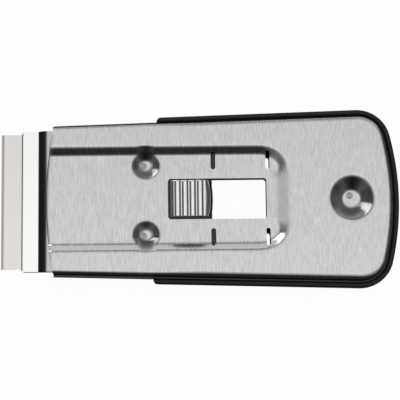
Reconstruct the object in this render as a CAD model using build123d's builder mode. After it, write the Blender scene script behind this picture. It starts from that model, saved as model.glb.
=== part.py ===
import os
from math import radians, tan

from build123d import *

os.makedirs("parts", exist_ok=True)

# Whole tool, in millimetres and degrees: X runs from the blade to the rear end,
# Y across the tool and Z up from the back face to the thumb button. A value that
# ends in share is a part of body_length
body_length = 103.9
blade_reach = 13.9
thickness = 9.0
sheet = 0.6
overrun = 5.0

# Outline of the two pressed shells at the sharp corner of face and wall
front_half_width = 21.5
side_flare = 1.73
front_radius = 111.0
rear_radius = 77.7
corner_radius = 7.7
fold_radius = 1.0
flange_width = 0.84

# Channel pressed into each face, open at the front
channel_half_width = 15.35
channel_depth = 1.9
channel_slope = 45.0
channel_rear_slope = 26.0
channel_corner = 8.4
channel_share = 0.6824

# Windows for the thumb button, and the slits beside them
window_share = 0.3442
window_half_width = 6.0
back_window_half_width = 6.3
window_corner = 0.9
slit_setback = 13.29
slit_inner = 8.75
slit_length = 5.2
front_slit_width = 1.4
rear_slit_width = 1.2
back_slit_shift = 1.1

# Round dimples that bring the two sheets together, and the rivets through them
front_dimple_setback = 4.0
front_dimple_y = 10.2
front_dimple_radius = 1.9
front_dimple_slope = 42.0
front_dimple_margin = 0.7
rear_dimple_share = 0.8629
rear_dimple_radius = 2.4
rear_dimple_slope = 44.0
pip_head_height = 0.35
pip_shank_radius = 0.5
front_pip_radius = 0.9
front_pip_back = 0.72
front_pip_drop = 0.1
rear_pip_radius = 0.95
rear_pip_back = 0.42
rear_pip_rise = 1.1

# Edge trim that grips the flanges from the thumb grip round the rear
trim_wall = 1.45
trim_lip = 0.3
trim_jaw_step = 0.16
trim_height = 3.2
trim_jaw_height = 2.4
trim_bevel = 0.6
trim_end_round = 1.3
trim_left_share = 0.3138
trim_right_share = 0.3013
trim_gap = 0.05

# Sliding carriage with the jaw that holds the blade
travel_share = 0.14918
carrier_thickness = 1.0
carrier_drop = 0.4
blade_exposed = 6.5
head_half_width = 20.85
head_corner = 1.0
neck_half_width = 6.2
crossbar_setback = 6.7
crossbar_width = 2.8
arm_inner = 7.2
arm_width = 5.6
arm_overhang = 0.75
inner_round = 1.0
tongue_length = 3.1
tongue_side = 1.7

# Blade, clamp jaw, spacer bar and their rivets
blade_width = 40.0
blade_depth = 19.0
blade_thickness = 0.3
blade_gap = 0.03
blade_stop_gap = 0.2
bevel_width = 1.3
edge_land = 0.03
blade_corner = 0.5
jaw_setback = 0.1
jaw_lip_width = 4.65
jaw_ramp_width = 2.15
jaw_rise = 0.9
jaw_bend = 0.4
spacer_depth = 4.1
spacer_half_width = 18.0
spacer_inset = 0.4
clamp_rivet_radius = 1.0
clamp_head_radius = 1.6
clamp_head_height = 0.4
clamp_rivet_y = 11.0
rivet_gap = 0.02

# Leaf spring under the latch, riveted to the neck of the carriage
leaf_thickness = 0.4
leaf_half_width = 4.0
leaf_setback = 2.2
leaf_pad = 6.0
leaf_tip_setback = 0.5
leaf_tip_pad = 4.0
leaf_bend = 1.0
leaf_rivet_radius = 0.7
leaf_head_radius = 1.2
leaf_head_height = 0.35

# Latch plate with two lugs that lock in the slits
latch_sheet = 0.5
latch_clearance = 0.65
latch_half_width = 6.9
latch_front_margin = 1.87
latch_rear_margin = 0.25
bridge_setback = 3.55
bridge_depth = 3.1
lug_gap = 0.05
lug_end_gap = 0.3
lug_bend = 0.3

# Ribbed thumb button, folded from sheet
button_sheet = 0.5
button_front_gap = 0.61
button_rear_gap = 0.25
button_length = 12.58
button_half_width = 5.35
button_proud = 0.2
rib_pitch = 2.27
rib_height = 0.7
rib_count = 4
first_rib_setback = 2.38
front_shoulder_drop = 0.45
rear_shoulder_drop = 0.75
shoulder_round = 0.7
rear_corner_round = 0.9
front_corner_round = 0.3
rear_bow = 0.25
foot_depth = 1.6

# Nylon shoes on the ends of the arms
shoe_gap = 0.06
shoe_rear_wall = 0.8
shoe_side_wall = 0.9
shoe_mouth = 0.1
shoe_round = 0.5
shoe_fit = 0.03

# Levels and the outline, worked out from the values above
total_length = body_length + blade_reach
edge_x = -total_length / 2
front_x = edge_x + blade_reach
middle = thickness / 2
trim_edge = flange_width + trim_wall
rear_apex = total_length / 2 - trim_edge
floor_low = thickness - channel_depth - sheet
far_front = front_x - 2 * overrun
travel = travel_share * body_length

# Places along X, counted from the blade's edge for what holds the blade
head_front = edge_x + blade_exposed
spacer_front = edge_x + blade_depth + blade_stop_gap
head_rear = spacer_front + spacer_depth + spacer_inset
front_dimple_x = head_rear + travel + front_dimple_setback
neck_rear = front_dimple_x + crossbar_setback

# Places along X, counted from the casing's front for the rest
window_front = front_x + window_share * body_length
button_front = window_front + button_front_gap
button_rear = button_front + button_length
window_rear = button_rear + travel + button_rear_gap
window_x = (window_front + window_rear) / 2
channel_rear = front_x + channel_share * body_length
rear_dimple_x = front_x + rear_dimple_share * body_length
slit_y = slit_inner + slit_length / 2
front_slit_x = window_front + slit_setback
rear_slit_x = front_slit_x + travel
lug_rear = front_slit_x + latch_sheet
arm_rear = lug_rear + arm_overhang
front_pips = [
    (front_dimple_x - front_pip_back, side * front_dimple_y - front_pip_drop) for side in (1, -1)
]
rear_pip = (rear_dimple_x - rear_pip_back, rear_pip_rise)


def half_width(x):
    return front_half_width + (x - front_x) * tan(radians(side_flare))


def plan_outline(grow):
    """Outline of the shells moved outward by grow, running out past the open front."""
    start = front_x - overrun
    end = rear_apex + overrun
    near = half_width(start) + grow
    far = half_width(end) + grow
    with BuildSketch() as plan:
        with BuildLine():
            Polyline((start, -near), (end, -far), (end, far), (start, near), close=True)
        make_face()
        with Locations((rear_apex - rear_radius, 0)):
            Circle(rear_radius + grow, mode=Mode.INTERSECT)
        fillet(plan.vertices().group_by(Axis.X)[-1], corner_radius + grow)
    return plan.sketch


def channel_outline(spread):
    """Channel at the level of the face, moved outward by spread."""
    side = channel_half_width + spread
    end = channel_rear + spread
    with BuildSketch() as plan:
        with BuildLine():
            Polyline((far_front, -side), (end, -side), (end, side), (far_front, side), close=True)
        make_face()
        fillet(plan.vertices().group_by(Axis.X)[-1], channel_corner + spread)
    return plan.sketch


def dimple(bottom_radius, slope, inset):
    """Solid on the Z axis that presses a round dimple down to the other sheet."""
    low = middle + sheet - inset
    top = thickness + overrun
    foot = bottom_radius + inset * tan(radians(slope / 2))
    mouth = foot + (top - low) / tan(radians(slope))
    with BuildPart() as cutter:
        with BuildSketch(Plane.XZ):
            with BuildLine():
                Polyline((0, low), (foot, low), (mouth, top), (0, top), close=True)
            make_face()
        revolve(axis=Axis.Z)
    return cutter.part


def front_dimples(inset):
    """Both front dimples, cut off below the rim of the channel that they stand in."""
    with BuildPart() as pair:
        with Locations((front_dimple_x, front_dimple_y), (front_dimple_x, -front_dimple_y)):
            add(dimple(front_dimple_radius, front_dimple_slope, inset))
        with BuildSketch():
            add(channel_outline(inset - front_dimple_margin))
        extrude(amount=thickness + overrun, mode=Mode.INTERSECT)
    return pair.part


def channel(inset):
    """Solid that presses the channel, with a gentler ramp at its rear end."""
    top = thickness - inset
    rise = channel_depth / tan(radians(channel_rear_slope))
    end = channel_rear + inset * tan(radians(channel_rear_slope / 2))
    with BuildPart() as cutter:
        with BuildSketch(Plane.XY.offset(top)):
            add(channel_outline(inset * tan(radians(channel_slope / 2))))
        extrude(amount=-channel_depth, taper=channel_slope)
        with BuildSketch(Plane.XZ):
            with BuildLine():
                Polyline(
                    (far_front, top - channel_depth),
                    (end - rise, top - channel_depth),
                    (end, top),
                    (far_front, top),
                    close=True,
                )
            make_face()
        extrude(amount=total_length, both=True, mode=Mode.INTERSECT)
    return cutter.part


def pressed_form(inset):
    """Front half of the casing as a solid, with every surface moved inward by inset."""
    top = thickness - inset
    with BuildPart() as form:
        with BuildSketch(Plane.XY.offset(middle)):
            add(plan_outline(-inset))
        extrude(amount=top - middle)
        if not inset:
            fillet(form.faces().sort_by(Axis.Z)[-1].edges().sort_by(Axis.X)[1:], fold_radius)
        add(channel(inset), mode=Mode.SUBTRACT)
        add(front_dimples(inset), mode=Mode.SUBTRACT)
        with Locations((rear_dimple_x, 0)):
            add(dimple(rear_dimple_radius, rear_dimple_slope, inset), mode=Mode.SUBTRACT)
    return form.part


def pressed_shell(opening_half_width, slit_shift):
    """One sheet of the casing with its flange, window, slits and rivet holes."""
    with BuildPart() as shell:
        add(pressed_form(0))
        with BuildSketch(Plane.XY.offset(middle)):
            add(plan_outline(flange_width))
        extrude(amount=sheet)
        add(pressed_form(sheet), mode=Mode.SUBTRACT)
        with BuildSketch():
            with Locations((front_x + front_radius, 0)):
                Circle(front_radius)
        extrude(amount=thickness, mode=Mode.INTERSECT)

        with BuildSketch(Plane.XY.offset(middle)):
            with Locations((window_x, 0)):
                RectangleRounded(window_rear - window_front, 2 * opening_half_width, window_corner)
            for side in (1, -1):
                with Locations((front_slit_x, side * slit_y + slit_shift)):
                    SlotOverall(slit_length, front_slit_width, rotation=90)
                with Locations((rear_slit_x, side * slit_y + slit_shift)):
                    SlotOverall(slit_length, rear_slit_width, rotation=90)
            with Locations(rear_pip, *front_pips):
                Circle(pip_shank_radius + rivet_gap)
        extrude(amount=middle, mode=Mode.SUBTRACT)
    return shell.part


def rivet(low, high, shank, head_radius, head_height):
    """Rivet on the Z axis with a flat head at both ends."""
    with BuildPart() as piece:
        with BuildSketch(Plane.XY.offset(low)):
            Circle(shank)
        extrude(amount=high - low)
        for level in (low - head_height, high):
            with BuildSketch(Plane.XY.offset(level)):
                Circle(head_radius)
            extrude(amount=head_height)
    return piece.part


# Front shell
with BuildPart() as front_shell:
    add(pressed_shell(window_half_width, 0))
front_shell.part.label = "front_shell"
export_step(front_shell.part, "parts/front_shell.step")


# Back shell, the same pressing turned over
with BuildPart() as back_shell:
    add(pressed_shell(back_window_half_width, -back_slit_shift))
    mirror(about=Plane.XY.offset(middle), mode=Mode.REPLACE)
back_shell.part.label = "back_shell"
export_step(back_shell.part, "parts/back_shell.step")


# Rivets that join the shells in the dimples
with BuildPart() as shell_rivets:
    with Locations(*front_pips):
        add(rivet(middle - sheet, middle + sheet, pip_shank_radius, front_pip_radius, pip_head_height))
    with Locations(rear_pip):
        add(rivet(middle - sheet, middle + sheet, pip_shank_radius, rear_pip_radius, pip_head_height))
shell_rivets.part.label = "shell_rivets"
export_step(shell_rivets.part, "parts/shell_rivets.step")


def trim_band(inner, outer):
    """Strip round the rear between two outlines, ending at the two front ends."""
    with BuildSketch() as band:
        add(plan_outline(outer))
        add(plan_outline(inner), mode=Mode.SUBTRACT)
        for share, half in ((trim_left_share, Align.MIN), (trim_right_share, Align.MAX)):
            with Locations((front_x + share * body_length, 0)):
                Rectangle(total_length, total_length, align=(Align.MAX, half), mode=Mode.SUBTRACT)
    return band.sketch


# Edge trim: an outer bead with two jaws that close on the flanges
with BuildPart() as edge_trim:
    with BuildSketch(Plane.XY.offset(middle - trim_height / 2)):
        add(plan_outline(trim_edge))
    extrude(amount=trim_height)
    chamfer(edge_trim.faces().filter_by(Axis.Z).edges(), trim_bevel)
    with BuildSketch(Plane.XY.offset(middle - trim_height / 2)) as bead:
        add(trim_band(flange_width + trim_gap, trim_edge))
        right_end, left_end = bead.vertices().group_by(Axis.X)[:2]
        fillet([right_end.sort_by(Axis.Y)[0], left_end.sort_by(Axis.Y)[-1]], trim_end_round)
    extrude(amount=trim_height, mode=Mode.INTERSECT)
    with BuildSketch(Plane.XY.offset(middle + sheet + trim_gap)):
        add(trim_band(flange_width - trim_lip, flange_width + trim_jaw_step))
    extrude(amount=trim_jaw_height / 2 - sheet - trim_gap)
    with BuildSketch(Plane.XY.offset(middle - trim_jaw_height / 2)):
        add(trim_band(flange_width - trim_lip, flange_width + trim_jaw_step))
    extrude(amount=trim_jaw_height / 2 - sheet - trim_gap)
edge_trim.part.label = "edge_trim"
export_step(edge_trim.part, "parts/edge_trim.step")


# Carriage plate: a wide head for the blade, a neck, a crossbar and two arms
carrier_top = middle - carrier_drop
carrier_low = carrier_top - carrier_thickness
arm_outer = arm_inner + arm_width
arm_y = arm_inner + arm_width / 2
tongue_width = arm_width - 2 * tongue_side
clamp_x = spacer_front + spacer_depth / 2
clamp_spots = [(clamp_x, clamp_rivet_y), (clamp_x, -clamp_rivet_y)]
leaf_front = head_rear + leaf_setback
leaf_rivet_x = leaf_front + leaf_pad / 2
with BuildPart() as blade_carrier:
    with BuildSketch(Plane.XY.offset(carrier_low)) as plan:
        with Locations((head_front, 0)):
            Rectangle(
                head_rear - head_front, 2 * head_half_width, align=(Align.MIN, Align.CENTER),
            )
            Rectangle(
                neck_rear - head_front, 2 * neck_half_width, align=(Align.MIN, Align.CENTER),
            )
        with Locations((neck_rear, 0)):
            Rectangle(crossbar_width, 2 * arm_outer, align=(Align.MAX, Align.CENTER))
        for side in (1, -1):
            with Locations((neck_rear, side * arm_y)):
                Rectangle(arm_rear - neck_rear, arm_width, align=(Align.MIN, Align.CENTER))
            with Locations((arm_rear, side * arm_y)):
                Rectangle(tongue_length, tongue_width, align=(Align.MIN, Align.CENTER))
        fillet(plan.vertices().group_by(Axis.X)[0], head_corner)
        with Locations(*clamp_spots):
            Circle(clamp_rivet_radius + rivet_gap, mode=Mode.SUBTRACT)
        with Locations((leaf_rivet_x, 0)):
            Circle(leaf_rivet_radius + rivet_gap, mode=Mode.SUBTRACT)
    extrude(amount=carrier_thickness)
    neck_corners = blade_carrier.edges().filter_by(Axis.Z).filter_by_position(
        Axis.X, head_rear - rivet_gap, neck_rear + rivet_gap
    ).filter_by_position(Axis.Y, -arm_outer + rivet_gap, arm_outer - rivet_gap)
    fillet(neck_corners, inner_round)
blade_carrier.part.label = "blade_carrier"
export_step(blade_carrier.part, "parts/blade_carrier.step")


# Blade with one ground edge
blade_low = carrier_top + blade_gap
with BuildPart() as blade:
    with BuildSketch(Plane.XZ):
        with BuildLine():
            Polyline(
                (edge_x, blade_low),
                (edge_x + blade_depth, blade_low),
                (edge_x + blade_depth, blade_low + blade_thickness),
                (edge_x + bevel_width, blade_low + blade_thickness),
                (edge_x, blade_low + edge_land),
                close=True,
            )
        make_face()
    extrude(amount=blade_width / 2, both=True)
    rear_corners = blade.edges().filter_by(Axis.Z).group_by(Axis.X)[-1]
    chamfer(rear_corners, blade_corner)
blade.part.label = "blade"
export_step(blade.part, "parts/blade.step")


# Clamp jaw, folded down to a lip that presses the blade
jaw_lip_low = blade_low + blade_thickness + blade_gap
jaw_low = jaw_lip_low + jaw_rise
jaw_front = head_front + jaw_setback
lip_rear = jaw_front + jaw_lip_width
with BuildPart() as clamp_jaw:
    with BuildSketch(Plane.XZ):
        with BuildLine():
            FilletPolyline(
                (jaw_front, jaw_lip_low),
                (lip_rear, jaw_lip_low),
                (lip_rear + jaw_ramp_width, jaw_low),
                (head_rear, jaw_low),
                radius=jaw_bend,
            )
            offset(amount=sheet, side=Side.LEFT)
        make_face()
    extrude(amount=head_half_width, both=True)
    with BuildSketch(Plane.XY.offset(jaw_low)):
        with Locations(*clamp_spots):
            Circle(clamp_rivet_radius + rivet_gap)
    extrude(amount=sheet, mode=Mode.SUBTRACT)
    front_corners = clamp_jaw.edges().filter_by(Axis.Z).group_by(Axis.X)[0]
    fillet(front_corners, jaw_bend)
clamp_jaw.part.label = "clamp_jaw"
export_step(clamp_jaw.part, "parts/clamp_jaw.step")


# Spacer bar between carrier and jaw, which is also the stop of the blade
with BuildPart() as clamp_spacer:
    with BuildSketch(Plane.XY.offset(carrier_top)) as plan:
        with Locations((clamp_x, 0)):
            RectangleRounded(spacer_depth, 2 * spacer_half_width, head_corner)
        with Locations(*clamp_spots):
            Circle(clamp_rivet_radius + rivet_gap, mode=Mode.SUBTRACT)
    extrude(amount=jaw_low - carrier_top)
clamp_spacer.part.label = "clamp_spacer"
export_step(clamp_spacer.part, "parts/clamp_spacer.step")


# Rivets through jaw, spacer and carrier
with BuildPart() as clamp_rivets:
    with Locations(*clamp_spots):
        add(rivet(carrier_low, jaw_low + sheet, clamp_rivet_radius, clamp_head_radius, clamp_head_height))
clamp_rivets.part.label = "clamp_rivets"
export_step(clamp_rivets.part, "parts/clamp_rivets.step")


# Leaf spring that pushes the latch up from below
latch_low = floor_low - latch_clearance - latch_sheet
latch_front = button_front - latch_front_margin
leaf_tip_front = latch_front + leaf_tip_setback
leaf_tip_low = latch_low - leaf_thickness
with BuildPart() as leaf_spring:
    with BuildSketch(Plane.XZ):
        with BuildLine():
            FilletPolyline(
                (leaf_front, carrier_top),
                (leaf_front + leaf_pad, carrier_top),
                (leaf_tip_front, leaf_tip_low),
                (leaf_tip_front + leaf_tip_pad, leaf_tip_low),
                radius=leaf_bend,
            )
            offset(amount=leaf_thickness, side=Side.LEFT)
        make_face()
    extrude(amount=leaf_half_width, both=True)
    with BuildSketch(Plane.XY.offset(carrier_top)):
        with Locations((leaf_rivet_x, 0)):
            Circle(leaf_rivet_radius + rivet_gap)
    extrude(amount=leaf_thickness, mode=Mode.SUBTRACT)
    tip_corners = leaf_spring.edges().filter_by(Axis.Z).group_by(Axis.X)
    fillet(tip_corners[0] + tip_corners[-1], leaf_bend)
leaf_spring.part.label = "leaf_spring"
export_step(leaf_spring.part, "parts/leaf_spring.step")


# Rivet at the root of the leaf spring
with BuildPart() as leaf_rivet:
    with Locations((leaf_rivet_x, 0)):
        add(
            rivet(
                carrier_low, carrier_top + leaf_thickness,
                leaf_rivet_radius, leaf_head_radius, leaf_head_height,
            )
        )
leaf_rivet.part.label = "leaf_rivet"
export_step(leaf_rivet.part, "parts/leaf_rivet.step")


# Latch plate: button seat, crossbar and two lugs bent up under the slits
bridge_front = front_slit_x - bridge_setback
latch_rear = button_rear - latch_rear_margin
lug_half = slit_length / 2 - lug_end_gap
latch_top = latch_low + latch_sheet
with BuildPart() as latch_plate:
    with BuildSketch(Plane.XY.offset(latch_low)):
        with Locations((latch_front, 0)):
            Rectangle(
                latch_rear - latch_front, 2 * latch_half_width, align=(Align.MIN, Align.CENTER),
            )
        with Locations((bridge_front, 0)):
            Rectangle(bridge_depth, 2 * (slit_y + lug_half), align=(Align.MIN, Align.CENTER))
        for side in (1, -1):
            with Locations((bridge_front, side * slit_y)):
                Rectangle(lug_rear - bridge_front, 2 * lug_half, align=(Align.MIN, Align.CENTER))
    extrude(amount=latch_sheet)
    with BuildSketch(Plane.XY.offset(latch_low)):
        for side in (1, -1):
            with Locations((lug_rear, side * slit_y)):
                Rectangle(latch_sheet, 2 * lug_half, align=(Align.MAX, Align.CENTER))
    extrude(amount=floor_low - lug_gap - latch_low)
    lug_roots = latch_plate.edges().filter_by(Axis.Y).filter_by_position(
        Axis.Z, latch_low, latch_low
    ).group_by(Axis.X)[-1]
    fillet(lug_roots, lug_bend)
    seat_corners = latch_plate.edges().filter_by(Axis.Z).group_by(Axis.X)[0]
    fillet(seat_corners, inner_round)
latch_plate.part.label = "latch_plate"
export_step(latch_plate.part, "parts/latch_plate.step")


# Thumb button: ribs across the top, open sides, two feet on the latch plate
valley_z = thickness + button_proud - rib_height
rib_mid_z = valley_z + rib_height / 2
quarter = rib_pitch / 4
first_valley_x = button_front + first_rib_setback - 2 * quarter
last_valley_x = first_valley_x + rib_count * rib_pitch
front_shoulder_z = valley_z - front_shoulder_drop
rear_shoulder_z = valley_z - rear_shoulder_drop
with BuildPart() as thumb_button:
    with BuildSketch(Plane.XZ) as ribbon:
        with BuildLine():
            Polyline(
                (first_valley_x, valley_z),
                (button_front, front_shoulder_z),
                (button_front, latch_top),
                (button_rear, latch_top),
                (button_rear, rear_shoulder_z),
                (last_valley_x, valley_z),
            )
            for number in range(rib_count):
                start = first_valley_x + number * rib_pitch
                rib_x = start + 2 * quarter
                TangentArc((start, valley_z), (start + quarter, rib_mid_z), tangent=(1, 0))
                ThreePointArc(
                    (start + quarter, rib_mid_z),
                    (rib_x, valley_z + rib_height),
                    (rib_x + quarter, rib_mid_z),
                )
                TangentArc(
                    (start + rib_pitch, valley_z), (rib_x + quarter, rib_mid_z), tangent=(-1, 0)
                )
        make_face()
        shoulders = ribbon.vertices().filter_by_position(Axis.Z, rear_shoulder_z, front_shoulder_z)
        fillet(shoulders, shoulder_round)
        offset(amount=-button_sheet, kind=Kind.INTERSECTION, mode=Mode.SUBTRACT)
        with Locations((button_front + foot_depth, latch_top)):
            Rectangle(
                button_rear - button_front - 2 * foot_depth, 2 * button_sheet,
                align=(Align.MIN, Align.CENTER), mode=Mode.SUBTRACT,
            )
    extrude(amount=button_half_width, both=True)
    with BuildSketch() as footprint:
        with BuildLine():
            ThreePointArc(
                (button_rear - rear_bow, -button_half_width),
                (button_rear, 0),
                (button_rear - rear_bow, button_half_width),
            )
            Polyline(
                (button_rear - rear_bow, button_half_width),
                (button_front, button_half_width),
                (button_front, -button_half_width),
                (button_rear - rear_bow, -button_half_width),
            )
        make_face()
        fillet(footprint.vertices().group_by(Axis.X)[-1], rear_corner_round)
        fillet(footprint.vertices().group_by(Axis.X)[0], front_corner_round)
    extrude(amount=2 * thickness, mode=Mode.INTERSECT)
thumb_button.part.label = "thumb_button"
export_step(thumb_button.part, "parts/thumb_button.step")


def guide_shoe(side):
    """Block that fills the casing's height and fits over the tongue of one arm."""
    low = thickness - floor_low + shoe_gap
    high = floor_low - shoe_gap
    front = arm_rear + shoe_mouth
    rear = arm_rear + tongue_length + shoe_rear_wall
    with BuildPart() as shoe:
        with BuildSketch(Plane.XY.offset(low)):
            with Locations((front, side * arm_y)):
                Rectangle(
                    rear - front, tongue_width + 2 * shoe_side_wall,
                    align=(Align.MIN, Align.CENTER),
                )
        extrude(amount=high - low)
        fillet(shoe.edges().filter_by(Axis.Z), shoe_round)
        with BuildSketch(Plane.XY.offset(carrier_low - shoe_fit)):
            with Locations((front, side * arm_y)):
                Rectangle(
                    tongue_length - shoe_mouth + shoe_fit, tongue_width + 2 * shoe_fit,
                    align=(Align.MIN, Align.CENTER),
                )
        extrude(amount=carrier_thickness + 2 * shoe_fit, mode=Mode.SUBTRACT)
    return shoe.part


# Guide shoe on each arm
with BuildPart() as guide_shoe_left:
    add(guide_shoe(1))
guide_shoe_left.part.label = "guide_shoe_left"
export_step(guide_shoe_left.part, "parts/guide_shoe_left.step")

with BuildPart() as guide_shoe_right:
    add(guide_shoe(-1))
guide_shoe_right.part.label = "guide_shoe_right"
export_step(guide_shoe_right.part, "parts/guide_shoe_right.step")
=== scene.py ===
import math

import bmesh
import bpy
import numpy as np
from mathutils import Euler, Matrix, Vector


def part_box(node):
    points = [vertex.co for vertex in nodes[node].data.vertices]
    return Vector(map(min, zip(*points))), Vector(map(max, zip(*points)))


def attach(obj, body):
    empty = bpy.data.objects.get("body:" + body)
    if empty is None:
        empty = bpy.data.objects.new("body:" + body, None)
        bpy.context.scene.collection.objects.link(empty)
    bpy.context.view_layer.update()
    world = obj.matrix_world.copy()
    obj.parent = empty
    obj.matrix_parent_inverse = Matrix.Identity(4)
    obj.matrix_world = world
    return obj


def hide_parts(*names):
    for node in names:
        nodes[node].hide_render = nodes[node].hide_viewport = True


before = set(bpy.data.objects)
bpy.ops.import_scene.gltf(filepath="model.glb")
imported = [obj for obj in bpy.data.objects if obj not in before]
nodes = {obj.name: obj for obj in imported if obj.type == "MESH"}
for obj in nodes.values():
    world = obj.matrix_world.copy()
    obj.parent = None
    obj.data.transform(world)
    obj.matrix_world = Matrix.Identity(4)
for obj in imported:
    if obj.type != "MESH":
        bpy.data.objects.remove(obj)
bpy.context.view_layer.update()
print("frame loaded:", len(nodes), "nodes")

mm = 0.001
scene = bpy.context.scene


def makeCamera(values):
    data = bpy.data.cameras.new("photoCamera")
    data.sensor_width = values["sensor"]
    data.lens = values["sensor"] * values["focalPixels"] / values["imagePixels"]
    data.clip_start = 0.01
    data.clip_end = 10.0
    camera = bpy.data.objects.new("photoCamera", data)
    scene.collection.objects.link(camera)
    camera.location = Vector(values["position"]) * mm
    camera.rotation_euler = Euler([math.radians(angle) for angle in values["turn"]], "XYZ")
    scene.camera = camera


def spread(start, end, count, peaks):
    # Places from start to end that lie closer at the peaks: even steps of the integral of one plus,
    # for each peak of centre, width and height, its height times a flat-topped bell round its centre
    fine = np.linspace(start, end, 4000)
    density = np.ones_like(fine)
    for centre, width, height in peaks:
        density += height * np.exp(-((fine - centre) / width) ** 4)
    total = np.concatenate([[0.0], np.cumsum((density[1:] + density[:-1]) / 2)])
    return np.interp(np.linspace(0.0, total[-1], count), total, fine)


def ramp(u, soft):
    # Zero to one with a straight middle and a parabola over the share soft at each end
    u = np.clip(u, 0.0, 1.0)
    low = u ** 2 / (2 * soft * (1 - soft))
    high = 1 - (1 - u) ** 2 / (2 * soft * (1 - soft))
    return np.where(u < soft, low, np.where(u > 1 - soft, high, (u - soft / 2) / (1 - soft)))


def outlineHalf(v):
    # Left half of the plan outline from the front to the middle of the rear, with outward angles: a
    # straight flared side, a corner arc and an arc of the rear circle. The corner's centre is where
    # the side line and the rear circle meet once both are moved inward by the corner's radius
    slope = math.tan(v["sideFlare"])
    hub = v["rearApex"] - v["rearRadius"]
    reach = v["rearRadius"] - v["cornerRadius"]
    base = v["frontHalfWidth"] - slope * v["frontX"] - v["cornerRadius"] / math.cos(v["sideFlare"])
    half = slope * base - hub
    square = 1 + slope ** 2
    centreX = (-half + math.sqrt(half ** 2 - square * (hub ** 2 + base ** 2 - reach ** 2))) / square
    centre = np.array([centreX, slope * centreX + base])
    sideAngle = math.pi / 2 + v["sideFlare"]
    rearAngle = math.atan2(centre[1], centre[0] - hub)
    bow = v["frontRadius"] - math.sqrt(v["frontRadius"] ** 2 - v["frontHalfWidth"] ** 2)
    sideEnd = centre[0] + v["cornerRadius"] * math.cos(sideAngle)
    sideX = spread(v["frontX"] + bow, sideEnd, v["sideCount"], v["lengthPeaks"])
    side = np.stack([sideX, v["frontHalfWidth"] + slope * (sideX - v["frontX"])], axis=1)
    corner = np.linspace(sideAngle, rearAngle, 2 * v["cornerCount"] + 1)[1:]
    rearY = spread(v["rearRadius"] * math.sin(rearAngle), 0.0, v["rearCount"], v["widthPeaks"])[1:]
    rear = np.arcsin(rearY / v["rearRadius"])
    points = np.concatenate([
        side,
        centre + v["cornerRadius"] * np.stack([np.cos(corner), np.sin(corner)], axis=1),
        [hub, 0.0] + v["rearRadius"] * np.stack([np.cos(rear), np.sin(rear)], axis=1),
    ])
    return points, np.concatenate([np.full(v["sideCount"], sideAngle), corner, rear])


def outlineFull(v):
    # Outline from the left front round the rear to the right front, with its outward normals
    points, angles = outlineHalf(v)
    normals = np.stack([np.cos(angles), np.sin(angles)], axis=1)
    flip = np.array([1.0, -1.0])
    both = np.concatenate([points, points[-2::-1] * flip])
    return both, np.concatenate([normals, normals[-2::-1] * flip])


def casingHeight(v, x, y):
    # Level of the pressed face: a channel that falls with the distance inside a rounded outline, with
    # a longer run at its rear; cones from the channel's rim to the other sheet, joined to the channel
    # by a smooth maximum; a round dimple that falls with its radius; and a rolled front edge
    sideShort = np.maximum(v["channelCorner"] - v["channelHalfWidth"] + np.abs(y), 0.0)
    rearShort = np.maximum(v["channelCorner"] - v["channelRear"] + x, 0.0)
    short = np.hypot(sideShort, rearShort)
    turned = (rearShort / np.maximum(short, 1e-6)) ** 2
    run = v["wallRun"] + (v["rearWallRun"] - v["wallRun"]) * turned ** 4
    fall = ramp((v["channelCorner"] - short) / run, v["channelSoft"])
    depth = v["channelDepth"] * fall
    for centreX, centreY, rim, disc, full in v["channelDimples"]:
        toWall = (y - centreY) * np.sign(centreY)
        stretched = np.where(toWall > 0, toWall, v["floorStretch"] * toWall)
        radius = np.hypot(v["floorStretch"] * (x - centreX), stretched)
        cone = (full + v["blend"]) * ramp((rim - radius) / (rim - disc), v["dimpleSoft"]) - v["blend"]
        mix = np.clip(0.5 + 0.5 * (cone - depth) / v["blend"], 0.0, 1.0)
        depth = depth + mix * (cone - depth) + v["blend"] * mix * (1 - mix) / 2
    centreX, centreY, rim, disc, full = v["rearDimple"]
    radius = np.hypot(x - centreX, y - centreY)
    depth = depth + full * ramp((rim - radius) / (rim - disc), v["dimpleSoft"])
    level = v["face"] - depth
    bow = v["frontRadius"] - np.sqrt(v["frontRadius"] ** 2 - y ** 2)
    inside = np.clip(1 - (x - v["frontX"] - bow) / v["frontRoll"], 0.0, 1.0)
    fade = ramp((v["frontHalfWidth"] - v["rollEnd"] - np.abs(y)) / v["rollFade"], 0.5)
    rolled = v["rollShare"] * inside
    return level - fade * v["frontRoll"] * (1 - np.sqrt(1 - rolled ** 2)) / v["rollShare"]


def casingFace(v, edge):
    # Coons patch inside the fold, between the left, rear and right stretches of the edge and a bowed
    # front. Lines run straight along the channel and bend only outside it
    turn = v["sideCount"] + v["cornerCount"]
    left, rear = edge[:turn], edge[turn - 1:len(edge) - turn + 1]
    inner = v["channelHalfWidth"] + v["straightMargin"]
    frontHalf, rearHalf = left[0, 1], rear[0, 1]
    outer = np.maximum(np.abs(rear[:, 1]) - inner, 0.0) * (frontHalf - inner) / (rearHalf - inner)
    frontY = np.sign(rear[:, 1]) * (np.minimum(np.abs(rear[:, 1]), inner) + outer)
    bow = v["frontRadius"] - np.sqrt(v["frontRadius"] ** 2 - frontY ** 2)
    frontX = v["frontX"] + bow + (left[0, 0] - v["frontX"] - bow[0]) * (frontY / frontHalf) ** 4
    along = ((left[:, 0] - left[0, 0]) / (left[-1, 0] - left[0, 0]))[:, None]
    across = (frontY / frontHalf)[None]
    x = left[:, :1] + (1 - along) * (frontX - left[0, 0])[None] + along * (rear[:, 0] - rear[0, 0])[None]
    y = left[:, 1:] * across + along * (rear[:, 1][None] - rearHalf * across)
    return np.stack([x, y, casingHeight(v, x, y)], axis=-1)


def foldRadius(v, points):
    # Radius of the fold at each point: tighter at the front and wider from the grip rearward
    low, high = v["foldRadius"]
    start, end = v["foldChange"]
    return (low + (high - low) * ramp((points[:, 0] - start) / (end - start), 0.5))[:, None]


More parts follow.
